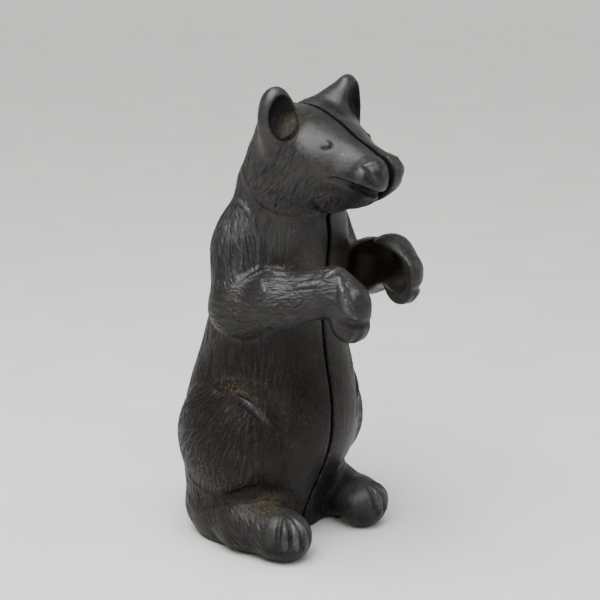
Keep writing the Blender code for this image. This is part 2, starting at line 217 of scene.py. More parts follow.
def melt(a, b, soft):
    """The nearer of two distances, rounded where they are within soft of each other."""
    near = np.maximum(soft - np.abs(a - b), 0.0) / soft
    return np.minimum(a, b) - near * near * (soft * 0.25)


def carve(a, b, soft):
    """a without b, with rounded edges."""
    return -melt(-a, b, soft)


def between(place, low, high):
    """Below zero between low and high."""
    return np.maximum(low - place, place - high)


def turned(a, b, degrees):
    c, s = math.cos(math.radians(degrees)), math.sin(math.radians(degrees))
    return a * c - b * s, a * s + b * c


def ball(P, shape, inset=0.0, drawn=False):
    """Distance to a ball. drawn stretches it all the way to the middle plane."""
    centre, radii, lean, turn = shape
    x, f, z = P[0] - centre[0], P[1] - centre[1], P[2] - centre[2]
    if drawn:
        x = np.maximum(x, 0.0)
    if turn:
        x, f = turned(x, f, turn)
    if lean:
        f, z = turned(f, z, lean)
    rx, rf, rz = (r - inset for r in radii)
    k0 = np.sqrt((x / rx) ** 2 + (f / rf) ** 2 + (z / rz) ** 2)
    k1 = np.sqrt((x / rx ** 2) ** 2 + (f / rf ** 2) ** 2 + (z / rz ** 2) ** 2) + TINY
    return k0 * (k0 - 1.0) / k1


def rod(P, a, b, inset=0.0, drawn=False):
    """Distance to a tapered rod with round ends."""
    x, f, z = P[0] - a[0], P[1] - a[1], P[2] - a[2]
    dx, df, dz = b[0] - a[0], b[1] - a[1], b[2] - a[2]
    t = unit((x * dx + f * df + z * dz) / (dx * dx + df * df + dz * dz))
    x = x - t * dx
    if drawn:
        x = np.maximum(x, 0.0)
    return np.sqrt(x ** 2 + (f - t * df) ** 2 + (z - t * dz) ** 2) - (a[3] + (b[3] - a[3]) * t - inset)


def chain(P, points, soft=3.0, inset=0.0, drawn=False):
    distance = None
    for a, b in zip(points, points[1:]):
        piece = rod(P, a, b, inset, drawn)
        distance = piece if distance is None else melt(distance, piece, soft)
    return distance


def along(table, up, column):
    """A column of the table at each height, along a smooth curve through its rows."""
    xs, ys = table[:, 0], table[:, column]
    slope = np.gradient(ys, xs)
    slope[1:-1] = (ys[2:] - ys[:-2]) / (xs[2:] - xs[:-2])
    up = np.clip(up, xs[0], xs[-1])
    i = np.clip(np.searchsorted(xs, up) - 1, 0, len(xs) - 2)
    span = (xs[1:] - xs[:-1])[i]
    t = (up - xs[i]) / span
    rise = ys[i + 1] - ys[i]
    a, b = slope[i] * span, slope[i + 1] * span
    return (ys[i] + (((a + b - 2 * rise) * t + (3 * rise - 2 * a - b)) * t + a) * t).astype(REAL)


def torso(P, inset=0.0):
    front, back, width = (along(BODY, P[2], column) for column in (1, 2, 3))
    f = P[1] - (front + back) / 2
    deep = (front - back) / 2 - inset
    reach = np.sqrt(P[0] ** 2 + f ** 2) + TINY
    share = (np.abs(P[0]) / (width - inset)) ** BODY_POWER + (np.abs(f) / deep) ** BODY_POWER
    distance = reach * (1.0 - (share + TINY) ** (-1.0 / BODY_POWER))
    return carve(distance, BODY_TOP - inset - P[2], 10.0)


def head(P):
    distance = melt(ball(P, SKULL), ball(P, BROW), 6.0)
    distance = melt(distance, chain(P, MUZZLE, 3.0), 7.0)
    distance = melt(distance, chain(P, JAW_BONE, 3.0), 3.0)
    distance = melt(distance, ball(P, TEMPLE), 5.0)
    return melt(distance, ball(P, CHEEK), 8.0)


def lifted(points, lift):
    """Raises a forearm's or paw's points; the elbow stays and the bend takes half."""
    raised = []
    for out, fwd, up, radius in points:
        share = 0.0 if fwd < 0 else (0.5 if fwd < 20 else 1.0)
        raised.append((out, fwd, up + lift * share, radius))
    return tuple(raised)


def arm(P, half):
    distance = chain(P, UPPER_ARM, 3.0)
    distance = melt(distance, chain(P, lifted(FOREARM, half["lift"]), 4.0), 4.0)
    hand = chain(P, lifted(half["paw"], half["lift"]), 4.0)
    return melt(distance, hand, 3.0)


def flat_facet(P, distance):
    """The forearm's and paw's inner side, cut flat where they stand clear of the chest."""
    plane = np.maximum(P[0] - PAW_FACET_OUT, PAW_FACET_FWD - P[1])
    return carve(distance, np.maximum(plane, between(P[2], PAW_FACET_LOW, PAW_FACET_HIGH)), 0.9)


def skin(P, half):
    """The outside of one side of the bear, still crossing the middle plane."""
    distance = melt(torso(P), head(P), HEAD_SOFT)
    ear = melt(ball(P, EAR), chain(P, EAR_ROOT, 3.0), 4.0)
    ear = carve(ear, ball(P, EAR_CUP), 0.9)
    distance = melt(distance, ear, EAR_SOFT)
    distance = melt(distance, ball(P, SHOULDER), SHOULDER_SOFT)
    limb = flat_facet(P, arm(P, half))
    limb = carve(limb, scoop_at(P, half), 1.3)
    distance = melt(distance, limb, ARM_SOFT)
    distance = melt(distance, ball(P, THIGH), THIGH_SOFT)
    foot = melt(chain(P, FOOT, 4.0), ball(P, TOES), 3.5)
    return melt(distance, foot, FOOT_SOFT)


def hollow(P):
    """What the sand core leaves empty."""
    distance = np.maximum(torso(P, WALL), FLOOR - P[2])
    distance = np.maximum(distance, P[2] - CORE_TOP)
    for shape in (SKULL, BROW):
        distance = melt(distance, ball(P, shape, WALL), 4.0)
    for shape in (CHEEK, SHOULDER, THIGH):
        distance = melt(distance, ball(P, shape, WALL, drawn=True), 3.0)
    distance = melt(distance, ball(P, NECK_HOLLOW, drawn=True), 3.0)
    distance = melt(distance, chain(P, MUZZLE[:2], inset=WALL), 3.0)
    distance = melt(distance, chain(P, UPPER_ARM, inset=WALL, drawn=True), 3.0)
    return melt(distance, chain(P, LEG_HOLLOW, drawn=True), 3.0)


def scoop_at(P, half):
    """The hollow in the forearm and wrist, open towards the middle plane."""
    return chain(P, lifted(SCOOP, half["lift"]), 3.0, drawn=True)


def jaw(P):
    """The ribbed pad and its two shelves."""
    t = (P[1] - JAW_BACK) / (JAW_FRONT - JAW_BACK)
    wave = np.abs(((t * JAW_RIDGES) % 1.0) * 2.0 - 1.0)
    slant = JAW_OUT_BACK + (JAW_OUT_FRONT - JAW_OUT_BACK) * t
    face = slant + RIDGE_DEPTH * (1.0 - wave)
    pad = np.maximum((face - P[0]) * 0.8, P[0] - slant - JAW_THICK)
    pad = np.maximum(pad, between(P[1], JAW_BACK, JAW_FRONT))
    pad = np.maximum(pad, between(P[2], JAW_LOW, JAW_HIGH))
    for level in SHELF_LEVELS:
        shelf = np.abs(P[2] - level) - SHELF_THICK / 2
        shelf = np.maximum(shelf, between(P[1], SHELF_BACK, SHELF_FRONT))
        shelf = np.maximum(shelf, slant + JAW_THICK / 2 - P[0])
        pad = np.minimum(pad, shelf)
    return pad


def knuckles(P, spans):
    """The half's stretches of the hinge barrel, with their roots."""
    axis = np.sqrt(P[0] ** 2 + (P[1] - HINGE_FWD) ** 2)
    distance = None
    for low, high in spans:
        tube = np.maximum(axis - BARREL_R, between(P[2], low, high))
        root = np.maximum(between(P[0], RIM_OUT, ROOT_OUT), between(P[1], HINGE_FWD, ROOT_FRONT))
        root = np.maximum(root, between(P[2], low + ROOT_STEP, high - ROOT_STEP))
        piece = melt(tube, root, 1.5)
        distance = piece if distance is None else np.minimum(distance, piece)
    return distance


# ---- details on the skin
def slope_of(P, half, step=0.3):
    """Distance to the skin and the direction straight out of it."""
    here = skin(P, half)
    rises = []
    for axis in range(3):
        moved = [P[k] + (step if k == axis else 0.0) for k in range(3)]
        rises.append(skin(moved, half) - here)
    normal = np.stack(rises)
    return here, normal / size_of(normal)


def onto_skin(P, half, rise=0.0, rounds=4):
    """Moves points onto the skin, or rise above it."""
    for _ in range(rounds):
        here, normal = slope_of(P, half)
        P = P - normal * (here - rise)
    return P, normal


def smooth_route(points, steps=3):
    """More points along a smooth curve through the given ones."""
    points = np.array(points, REAL)
    ends = np.concatenate([points[:1], points, points[-1:]])
    route = []
    for i in range(len(points) - 1):
        a, b, c, d = ends[i:i + 4]
        for step in range(steps):
            t = step / steps
            route.append(b + 0.5 * t * (c - a + t * (2 * a - 5 * b + 4 * c - d + t * (3 * (b - c) + d - a))))
    return np.array(route + [points[-1]], REAL)


def down_the_toes(turn):
    """A line down the front of the foot's end, turned outward by so many degrees."""
    centre, radii = TOES[0], TOES[1]
    line = []
    for high, radius in TOE_GROOVE:
        flat = math.cos(math.radians(high))
        line.append((
            centre[0] + radii[0] * flat * math.sin(math.radians(turn)),
            centre[1] + radii[1] * flat * math.cos(math.radians(turn)),
            centre[2] + radii[2] * math.sin(math.radians(high)), radius))
    return line


def skin_details(half):
    """Every raised and sunken detail of this half: sign, softness, points, and how much it is rubbed bright
    with a painted highlight.
    """
    details = []

    def add(sign, rise, soft, points, shine):
        P = smooth_route(points).T
        centres, _ = onto_skin(P[:3], half, rise)
        details.append((sign, soft, np.concatenate([centres, P[3:]]).T.tolist(), shine))

    for sign, rise, soft, moves, points in DETAILS:
        if moves and half["lift"] and sign > 0:
            continue    # the raised arm is smooth but for the grooves between its fingers
        add(sign, rise, soft, lifted(points, half["lift"]) if moves else points, float(sign > 0))
    for sign, rise, turns in ((-1, 0.45, TOE_TURNS), (+1, -0.7, TOE_RIDGES)):
        for turn in turns:
            add(sign, rise, 1.0, down_the_toes(turn), float(sign > 0))
    add(+1, -2.9, 1.8, UPPER_LIP, 0.25)
    add(-1, 0.3, 1.0, MOUTH[:-2] if half["lift"] else MOUTH, 0.0)
    add(-1, 0.2, 0.7, NOSTRIL, 0.0)
    for edge in NOSE_EDGES:
        add(+1, -0.4, 0.9, edge, 0.7)
    return details


def with_details(P, distance, details):
    """The skin's distance with the details raised from it and sunk into it."""
    for sign, soft, points, _ in details:
        reach = max(point[3] for point in points) + soft + 2.5
        near = np.ones(len(distance), bool)
        for axis in range(3):
            places = [point[axis] for point in points]
            near &= (P[axis] > min(places) - reach) & (P[axis] < max(places) + reach)
        near = np.nonzero(near)[0]
        if len(near) == 0:
            continue
        piece = chain([p[near] for p in P], points, 0.6)
        join = melt if sign > 0 else carve
        distance[near] = join(distance[near], piece, soft)
    return distance


def with_face(P, distance, eye):
    """The nose pad, and the eye's dome in its crescent socket."""
    x, f, z = (P[k] - eye[k] for k in range(3))
    far = np.sqrt(x * x + f * f + z * z)
    above = np.clip(0.5 + (z - 0.5 * f) / EYE_R, 0.0, 1.5)
    socket = np.abs(far - EYE_R - 0.35) - 0.55 + above * 0.6
    socket = np.maximum(socket, -SOCKET_DEEP - distance)
    distance = carve(distance, socket, 0.4)
    distance = melt(distance, far - EYE_R, 0.5)
    return melt(distance, ball(P, NOSE), 2.4)


def casting(P, half):
    """One half casting, as distances below zero inside the iron."""
    outside = with_details(P, skin(P, half), half["details"])
    outside = with_face(P, outside, half["eye"])
    iron = carve(outside, hollow(P), 1.2)
    iron = carve(iron, chain(P, INSTEP_ARCH), 1.0)
    iron = carve(iron, P[0] - RIM_OUT, 0.35)
    iron = np.maximum(iron, -P[2])
    groove = np.sqrt(P[0] ** 2 + (P[1] - HINGE_FWD) ** 2) - RELIEF_R
    iron = carve(iron, np.maximum(groove, P[2] - RELIEF_HIGH), 0.8)
    iron = melt(iron, np.maximum(jaw(P), outside + WALL / 2), 1.2)
    iron = melt(iron, knuckles(P, half["knuckles"]), 1.0)
    bore = np.sqrt(P[0] ** 2 + (P[1] - HINGE_FWD) ** 2) - BORE_R
    return np.maximum(iron, -bore)


def in_chunks(function, P, *rest):
    """Runs the function on a stretch of the points at a time."""
    count = P.shape[1]
    made = np.empty(count, REAL)
    for start in range(0, count, CHUNK):
        stretch = P[:, start:start + CHUNK]
        made[start:start + CHUNK] = function([stretch[0], stretch[1], stretch[2]], *rest)
    return made


# ---- meshing
def fine_field(half, spacing):
    """The casting's distances on a fine grid, worked out exactly only near its surfaces."""
    coarse = spacing * COARSE_STEPS
    cells = [int(math.ceil((high - low) / coarse)) for low, high in zip(GRID_LOW, GRID_HIGH)]
    axes = [low + coarse * np.arange(n + 1, dtype=REAL) for low, n in zip(GRID_LOW, cells)]
    P = np.stack([axis.ravel() for axis in np.meshgrid(*axes, indexing="ij")])
    field = in_chunks(casting, P, half).reshape([n + 1 for n in cells])
    for axis, n in enumerate(cells):
        place = np.arange(n * COARSE_STEPS + 1) / COARSE_STEPS
        low = np.minimum(place.astype(int), n - 1)
        share = (place - low).astype(REAL).reshape([-1 if k == axis else 1 for k in range(3)])
        a, b = np.take(field, low, axis), np.take(field, low + 1, axis)
        field = a + (b - a) * share
    near = np.nonzero(np.abs(field) < coarse * 1.25)
    P = np.stack([GRID_LOW[k] + spacing * near[k].astype(REAL) for k in range(3)])
    field[near] = in_chunks(casting, P, half)
    return field


CORNERS = tuple((i, j, k) for i in (0, 1) for j in (0, 1) for k in (0, 1))
UNIT = ((1, 0, 0), (0, 1, 0), (0, 0, 1))


def surface_net(field, spacing):
    """Points and quads of the surface where the field changes sign."""
    inside = field < 0
    shape = [n - 1 for n in field.shape]
    count = np.zeros(shape, np.uint8)
    for i, j, k in CORNERS:
        count += inside[i:i + shape[0], j:j + shape[1], k:k + shape[2]]
    cell = np.nonzero((count > 0) & (count < 8))
    number = np.full(shape, -1, np.int64)
    number[cell] = np.arange(len(cell[0]))
    total = np.zeros((len(cell[0]), 3), REAL)
    crossings = np.zeros(len(cell[0]), REAL)
    for corner in CORNERS:
        for axis in range(3):
            if corner[axis]:
                continue
            start = field[tuple(cell[k] + corner[k] for k in range(3))]
            end = field[tuple(cell[k] + corner[k] + UNIT[axis][k] for k in range(3))]
            crossed = np.nonzero((start < 0) != (end < 0))[0]
            t = start[crossed] / (start[crossed] - end[crossed])
            for k in range(3):
                total[crossed, k] += corner[k] + (t if k == axis else 0.0)
            crossings[crossed] += 1
    points = total / crossings[:, None] + np.stack(cell, 1)
    quads = []
    for axis in range(3):
        along_axis, u, v = UNIT[axis], UNIT[(axis + 1) % 3], UNIT[(axis + 2) % 3]
        first = inside[tuple(slice(0, n - d) for n, d in zip(inside.shape, along_axis))]
        second = inside[tuple(slice(d, n) for n, d in zip(inside.shape, along_axis))]
        edge = np.stack(np.nonzero(first != second), 1)
        ends_in = first[tuple(edge.T)]

        def cell_at(du, dv):
            return number[tuple((edge - du * np.array(u) - dv * np.array(v)).T)]

        quad = np.stack([cell_at(0, 0), cell_at(1, 0), cell_at(1, 1), cell_at(0, 1)], 1)
        quad[~ends_in] = quad[~ends_in][:, ::-1]
        quads.append(quad)
    return (points * spacing + np.array(GRID_LOW)).astype(REAL), np.concatenate(quads)


def point_normals(points, faces):
    """Area-weighted normals; faces are quads or triangles."""
    corners = faces.shape[1]
    along_face = points[faces[:, -2]] - points[faces[:, 0]]
    across = points[faces[:, -1]] - points[faces[:, corners - 3]]
    flat = np.cross(along_face, across)
    normal = np.zeros((len(points), 3))
    for axis in range(3):
        for corner in range(corners):
            normal[:, axis] += np.bincount(faces[:, corner], flat[:, axis], len(points))
    return normal / (np.linalg.norm(normal, axis=1)[:, None] + TINY)


# ---- hair strokes
FAN = (14, 104)      # (fwd, up) that the haunch's hair fans out from
FLANK = ((28.5, 9, 93), (10, 9, 15))
FACE_FWD, FACE_UP, FACE_LEAN = 22, 180, 0.8      # the slanting edge of the bare face
CHIN_UP = 160
# Where hair grows: how deep, how long a stroke is, and how much it wanders (degrees).
HAIR = {
    "torso": (0.34, 17, 7),
    "head": (0.44, 6, 15),
    "shoulder": (0.36, 11, 9),
    "forearm": (0.36, 6, 24),
    "hand": (0.12, 5, 25),
    "thigh": (0.42, 10, 9),
    "foot": (0.24, 5, 14),
    "bare": (0, 5, 0),
}
# Lines that hair runs along: a place on it, its direction, and the radius it is charted at.
SPINE_LINE = ((0, -16, 100), (0, 0, -1), 38)
NECK_LINE = ((8, -4, 176), (0.1, -0.55, -0.85), 22)
ARM_LINE = ((30, -8, 130), (0, 0.12, -1), 13)
FOOT_LINE = ((27, 0, 12), (0.1, 0.65, -0.75), 14)


def along_line(P, line):
    """A line's direction, and each place's charting: how far along it and how far round it."""
    middle, direction, radius = line
    d = np.array(direction, REAL)
    d /= np.linalg.norm(d)
    outward = np.array((1.0, 0.0, 0.0)) - d[0] * d
    outward /= np.linalg.norm(outward)
    sideways = np.cross(d, outward)
    away = P - np.array(middle, REAL)[:, None]
    around = np.arctan2(sideways @ away, outward @ away) * radius
    return np.repeat(d[:, None], P.shape[1], 1), np.stack([d @ away, around])


def fanned(P):
    """The same for hair that fans out from a point beside the haunch."""
    f, z = P[1] - FAN[0], P[2] - FAN[1]
    far = np.sqrt(f * f + z * z) + TINY
    return np.stack([0.0 * f, f / far, z / far]), np.stack([far, np.arctan2(f, -z) * 45.0])


def hair_regions(P, half):
    """Each region's name, its distance, and its hair's direction and chart."""
    forearm = lifted(FOREARM, half["lift"])
    to_wrist = tuple(b - a for a, b in zip(forearm[0][:3], forearm[2][:3]))
    wrist_line = (forearm[1][:3], to_wrist, 12.0)
    hand = lifted(half["paw"], half["lift"])[1:]
    bare = np.minimum(ball(P, TOES), np.minimum(ball(P, EAR), chain(P, MUZZLE[1:])))
    return (
        ("torso", torso(P), along_line(P, SPINE_LINE)),
        ("head", head(P), along_line(P, NECK_LINE)),
        ("shoulder", np.minimum(ball(P, SHOULDER), chain(P, UPPER_ARM) + 1.2), along_line(P, ARM_LINE)),
        ("forearm", chain(P, forearm), along_line(P, wrist_line)),
        ("hand", chain(P, hand), along_line(P, ARM_LINE)),
        ("thigh", ball(P, THIGH) - 2.0, fanned(P)),
        ("foot", chain(P, FOOT) - 0.5, along_line(P, FOOT_LINE)),
        ("bare", bare, along_line(P, SPINE_LINE)),
    )


def hair_at(P, half):
    """The hair's direction at each place, its depth, length and wandering, its chart, and how
    far the place is from the chart's border."""
    regions = hair_regions(P, half)
    near = np.stack([distance for _, distance, _ in regions])
    weight = np.exp((near.min(0) - near) / 1.6)
    weight /= weight.sum(0)
    direction = sum(w * way for w, (_, _, (way, _)) in zip(weight, regions))
    depth, length, wander = (
        sum(w * HAIR[name][k] for w, (name, _, _) in zip(weight, regions)) for k in range(3))
    on_face = unit((P[1] - FACE_FWD + (P[2] - FACE_UP) * FACE_LEAN) / 8.0) * (P[2] > CHIN_UP)
    depth = depth * (1.0 - on_face)
    on_front = unit((P[1] - 3.0) / 9.0) * weight[0]
    depth = depth * (1.0 - 0.82 * on_front)
    depth = depth * unit((scoop_at(P, half) - 2.0) / 2.0)
    centre, size = FLANK
    bold = np.exp(-sum(((P[k] - centre[k]) / size[k]) ** 2 for k in range(3)))
    depth = depth + 0.42 * bold * weight[0]
    charts = np.stack([chart for _, _, (_, chart) in regions])
    chosen = near.argmin(0)
    nearest = np.partition(near, 1, axis=0)
    border = unit((nearest[1] - nearest[0]) / 1.5)
    depth = depth * (0.15 + 0.85 * border)
    chart = charts[chosen, :, np.arange(P.shape[1])].T
    return direction, depth, length, wander, np.concatenate([chart, chosen[None] * 29.0]), border


def hair_strokes(points, half, count, random):
    """Marks along wandering strokes on the skin: places, depths and widths."""
    P = points[random.integers(0, len(points), count)].T.astype(REAL)
    depth, length, wander = hair_at(P, half)[1:4]
    kept = random.random(count) * 17.0 < 3.0 + 60.0 / length    # short strokes stand closer
    kept &= depth > 0.03
    P, depth, length, wander = P[:, kept], depth[kept], length[kept], wander[kept]
    length = length * random.uniform(0.6, 1.35, len(length))
    depth = depth * random.uniform(0.55, 1.25, len(length))
    width = random.uniform(0.52, 0.88, len(length))
    lean = random.normal(0.0, 1.0, len(length)) * wander * 0.5
    phase = random.uniform(0.0, 2 * math.pi, len(length))
    places, depths, widths = [], [], []
    local = depth
    for step in range(int(length.max() / STROKE_STEP)):
        gone = step * STROKE_STEP / length
        P, normal = onto_skin(P, half, 0.0, 1)
        alive = gone < 1.0
        taper = np.sin(math.pi * unit(gone)) ** 0.6
        places.append(P[:, alive])
        depths.append((np.minimum(depth, local * 1.1) * taper)[alive])
        widths.append((width * (0.6 + 0.4 * taper))[alive])
        direction, local = hair_at(P, half)[:2]
        direction = direction - normal * (direction * normal).sum(0)
        direction /= size_of(direction)
        sideways = np.cross(normal.T, direction.T).T
        turn = np.radians(lean + wander * np.sin(phase + step * STROKE_STEP / 2.6))
        P = P + (direction * np.cos(turn) + sideways * np.sin(turn)).astype(REAL) * STROKE_STEP
    return np.concatenate(places, 1).T, np.concatenate(depths), np.concatenate(widths)


def marked(points, places, depths, widths):
    """How deep the strokes cut at each point, and how high the lips beside them stand."""
    pack = np.array((1, MARK_BASE, MARK_BASE ** 2), np.int64)
    own = np.floor(points / MARK_CELL).astype(np.int64) + MARK_SHIFT
    order = np.argsort(own @ pack, kind="stable")
    keys = (own @ pack)[order]
    mark_cell = np.floor(places / MARK_CELL).astype(np.int64) + MARK_SHIFT
    cut = np.zeros(len(points))
    lip = np.zeros(len(points))
    for shift in np.ndindex(3, 3, 3):
        key = (mark_cell + np.array(shift) - 1) @ pack
        low = np.searchsorted(keys, key, "left")
        many = np.searchsorted(keys, key, "right") - low
        mark = np.repeat(np.arange(len(places)), many)
        ramp = np.arange(len(mark)) - np.repeat(np.cumsum(many) - many, many)
        point = order[low[mark] + ramp]
        far = np.linalg.norm(points[point] - places[mark], axis=1) / widths[mark]
        close = far < MARK_REACH
        point, mark, far = point[close], mark[close], far[close]
        np.maximum.at(cut, point, depths[mark] * unit(1.0 - far ** 2) ** 1.5)
        np.maximum.at(lip, point, depths[mark] * unit(1.0 - ((far - 1.25) / 0.6) ** 2))
    return cut, lip


def with_hair(points, quads, half, random):
    """Cuts the hair strokes into the outer skin's points."""
    P = points.T
    outer = in_chunks(skin, P, half) > -0.9
    outer &= (P[0] > SMOOTH_RIM) & (P[2] > 1.0)
    outer = np.nonzero(outer)[0]
    count = STROKES
    places, depths, widths = hair_strokes(points[outer], half, count, random)
    cut, lip = marked(points[outer], places, depths, widths)
    amount = np.zeros(len(points))
    amount[outer] = 0.28 * lip * np.exp(-cut * 8.0) - cut
    fade = unit((points[:, 0] - SMOOTH_RIM) / 1.2)
    moved = points + point_normals(points, quads) * (amount * fade)[:, None]
    return moved.astype(REAL), (places, depths, widths)


# ---- mesh objects
def add_object(name, data, place=(0.0, 0.0, 0.0), turn=(0.0, 0.0, 0.0)):
    thing = bpy.data.objects.new(name, data)
    thing.location = place
    thing.rotation_euler = turn
    bpy.context.scene.collection.objects.link(thing)
    return thing


def new_mesh(name, points, faces):
    data = bpy.data.meshes.new(name)
    data.vertices.add(len(points))
    data.vertices.foreach_set("co", points.astype(REAL).ravel())
    data.loops.add(faces.size)
    data.loops.foreach_set("vertex_index", faces.astype(np.int32).ravel())
    data.polygons.add(len(faces))
    data.polygons.foreach_set("loop_start", np.arange(len(faces), dtype=np.int32) * faces.shape[1])
    data.update(calc_edges=True)
    return data


def fewer_faces(name, points, quads, triangles):
    """The same shape with its faces spent where it bends most."""
    rough = add_object(name + "_rough", new_mesh(name + "_rough", points, quads))
    cut = rough.modifiers.new("fewer_faces", "DECIMATE")
    cut.ratio = min(1.0, triangles / (2.0 * len(quads)))
    cut.use_collapse_triangulate = True
    evaluated = rough.evaluated_get(bpy.context.evaluated_depsgraph_get())
    data = bpy.data.meshes.new_from_object(evaluated)
    bpy.data.objects.remove(rough, do_unlink=True)
    data.name = name
    return data


def read_points(data):
    points = np.empty(len(data.vertices) * 3, REAL)
    data.vertices.foreach_get("co", points)
    return points.reshape(-1, 3)


def read_faces(data):
    faces = np.empty(len(data.loops), np.int32)
    data.loops.foreach_get("vertex_index", faces)
    return faces.reshape(-1, 3)


def spread(values, edges, count):
    """Each point's mean over its neighbours."""
    total = np.bincount(edges[:, 0], values[edges[:, 1]], count)
    total += np.bincount(edges[:, 1], values[edges[:, 0]], count)
    number = np.bincount(edges.ravel(), minlength=count)
    return total / np.maximum(number, 1)


def bend(data, points, normals):
    """How much each point stands out of its neighbours (+) or sinks between them (-)."""
    edges = np.empty(len(data.edges) * 2, np.int32)
    data.edges.foreach_get("vertices", edges)
    edges = edges.reshape(-1, 2)
    count = len(points)
    away = np.stack([points[:, k] - spread(points[:, k], edges, count) for k in range(3)], 1)
    size = spread(np.linalg.norm(away, axis=1), edges, count) + 0.05
    out = (away * normals).sum(1) / (size + 0.12)
    for _ in range(3):
        out = 0.5 * out + 0.5 * spread(out, edges, count)
    return out


# Places where dusty patina gathers: centre, sizes, strength.
PATINA = (
    ((36, -7, 80.5), (7, 9, 3.6), 1),
    ((23, 6.5, 24.5), (11, 8, 5.5), 1),
    ((15, 15, 139), (10, 7, 4.5), 0.65),
    ((17, 11, 200), (6, 6, 5), 0.30),
    ((38, -12, 22), (9, 12, 9), 0.12),
)


def wear_and_painted_highlight(P, standing, details):
    """How rubbed each point is, with a painted highlight on the same places: whatever stands out, and the
    raised details.
    """
    wear_and_sheen = unit(standing * 2.2)
    for _, _, places, shine in details:
        if shine:
            wear_and_sheen = np.maximum(wear_and_sheen, shine * unit(0.75 - chain(P, places, 0.6)) ** 1.5)
    return wear_and_sheen


def in_mouth(P):
    return unit(0.7 - chain(P, MOUTH[2:]))


def front_rim(P, wide):
    """How near the front rims each point is, fading over so many millimetres."""
    return np.exp(-np.maximum(P[0] - RIM_OUT, 0.0) / wide) * (P[1] > RIM_FRONT)


def painted_shade(P, half, standing, normals):
    """Painted shade: how dark each point is painted for the shade in sunken places, the ear's cup,
    the mouth and along the head's rim, and a painted shadow on the underside beside the arm's hollow."""
    in_ear = unit(1.0 - ball(P, EAR_CUP) / 0.9)
    on_rim = front_rim(P, 0.9) * (P[2] > 125.0)
    under_scoop = unit(1.0 - scoop_at(P, half) / 4.0) * unit(-1.6 * normals[:, 2])
    places = (standing * -2.2, on_rim, in_ear, in_mouth(P), under_scoop)
    return unit(np.maximum.reduce(places))


def inner_side(P, half):
    """How far each point belongs to the browner inside."""
    cored = unit((-in_chunks(skin, P, half) - 1.4) / 1.2)
    scooped = unit(1.0 - scoop_at(P, half) / 0.8) * (P[1] > 6.0) * 0.8
    return np.maximum(cored, scooped) * (1.0 - in_mouth(P))


def gathered_patina(P, half, normals):
    """How much dusty patina lies on each point. The left half has only the haunch's."""
    patina = np.zeros(P.shape[1])
    for centre, size, strength in PATINA[:1] if half["lift"] else PATINA:
        away = sum(((P[k] - centre[k]) / size[k]) ** 2 for k in range(3))
        patina = np.maximum(patina, strength * np.exp(-away))
    return patina * unit(0.55 + normals[:, 2])


def chipped_rim(P):
    """How chipped the front rims are: most by the feet, and a little on the chest."""
    chipped = np.exp(-((P[2] - 30.0) / 16.0) ** 2) + 0.5 * np.exp(-((P[2] - 104.0) / 12.0) ** 2)
    wide = 0.8 + 1.6 * np.exp(-((P[2] - 30.0) / 14.0) ** 2)
    return front_rim(P, wide) * chipped


def settled_dust(P, normals):
    """How much grey dust lies on the feet, most on what faces up and forward."""
    low = np.exp(-((P[2] - 14.0) / 17.0) ** 2)
    return low * unit((P[1] + 30.0) / 40.0) * unit(0.25 + normals[:, 2])


def add_surface_values(data, half, marks):
    """Everything that the iron's material reads from the mesh."""
    points = read_points(data)
    P = points.T
    normals = point_normals(points, read_faces(data))
    standing = bend(data, points, normals)
    inside = inner_side(P, half)
    cut, lip = marked(points, *marks)
    _, hair, _, _, chart, border = hair_at(P.astype(REAL), half)
    for name, values in (
        # real wear on what stands out, with a painted highlight on the same crests
        ("wear_and_sheen", wear_and_painted_highlight(P, standing, half["details"])),
        # the painted shade in hollows, the mouth, the ear's cup, the head's rim and under the arm's hollow
        ("sunken", painted_shade(P, half, standing, normals)),
        ("inside", inside),
        ("patina", gathered_patina(P, half, normals) * (1.0 - inside)),
        # how deep the hair grooves are cut; the material paints them dark as shade
        ("groove", unit(cut * 3.0) * (1.0 - inside)),
        # how high the lips beside the hair grooves stand; the material paints a highlight on them
        ("lip", unit(lip * 3.0) * (1.0 - inside)),
        ("rim", chipped_rim(P) * (1.0 - inside)),
        ("dust", settled_dust(P, normals) * (1.0 - inside)),
        ("hair", np.clip(hair * 3.2, 0.0, 1.4) * border * (1.0 - inside)),
    ):
        layer = data.attributes.new(name, "FLOAT", "POINT")
        layer.data.foreach_set("value", values.astype(REAL))
    layer = data.attributes.new("hair_place", "FLOAT_VECTOR", "POINT")
    layer.data.foreach_set("vector", chart.T.astype(REAL).ravel())


def to_world(data, side):
    """Turns a half's mesh from the closed bear's millimetres into place on the hinge."""
    points = read_points(data).astype(float)
    turn = math.radians(side * REST_OPEN)
    x, y = side * points[:, 0], HINGE_FWD - points[:, 1]
    hinge = np.array(JOINT["pos_m"])
    placed = np.stack([
        (x * math.cos(turn) - y * math.sin(turn)) * MM + hinge[0],
        (x * math.sin(turn) + y * math.cos(turn)) * MM + hinge[1],
        points[:, 2] * MM], 1)
    data.vertices.foreach_set("co", placed.astype(REAL).ravel())
    if side < 0:
        data.flip_normals()
    data.update()


def make_casting(name, half, finish):
    spacing = FINE
    triangles = TRIANGLES
    half["details"] = skin_details(half)
    eye, _ = onto_skin(np.array(EYE, REAL)[:, None], half, -1.4)
    half["eye"] = [float(v) for v in eye[:, 0]]
    points, quads = surface_net(fine_field(half, spacing), spacing)
    points, marks = with_hair(points, quads, half, np.random.default_rng(SEED + half["side"]))
    data = fewer_faces(name, points, quads, triangles)
    add_surface_values(data, half, marks)
    to_world(data, half["side"])
    data.polygons.foreach_set("use_smooth", np.ones(len(data.polygons), bool))
    data.materials.append(finish)
    return add_object(name, data)


# ---- materials
MIX_A, MIX_B, MIX_COLOUR = 6, 7, 2      # the Mix node's colour sockets


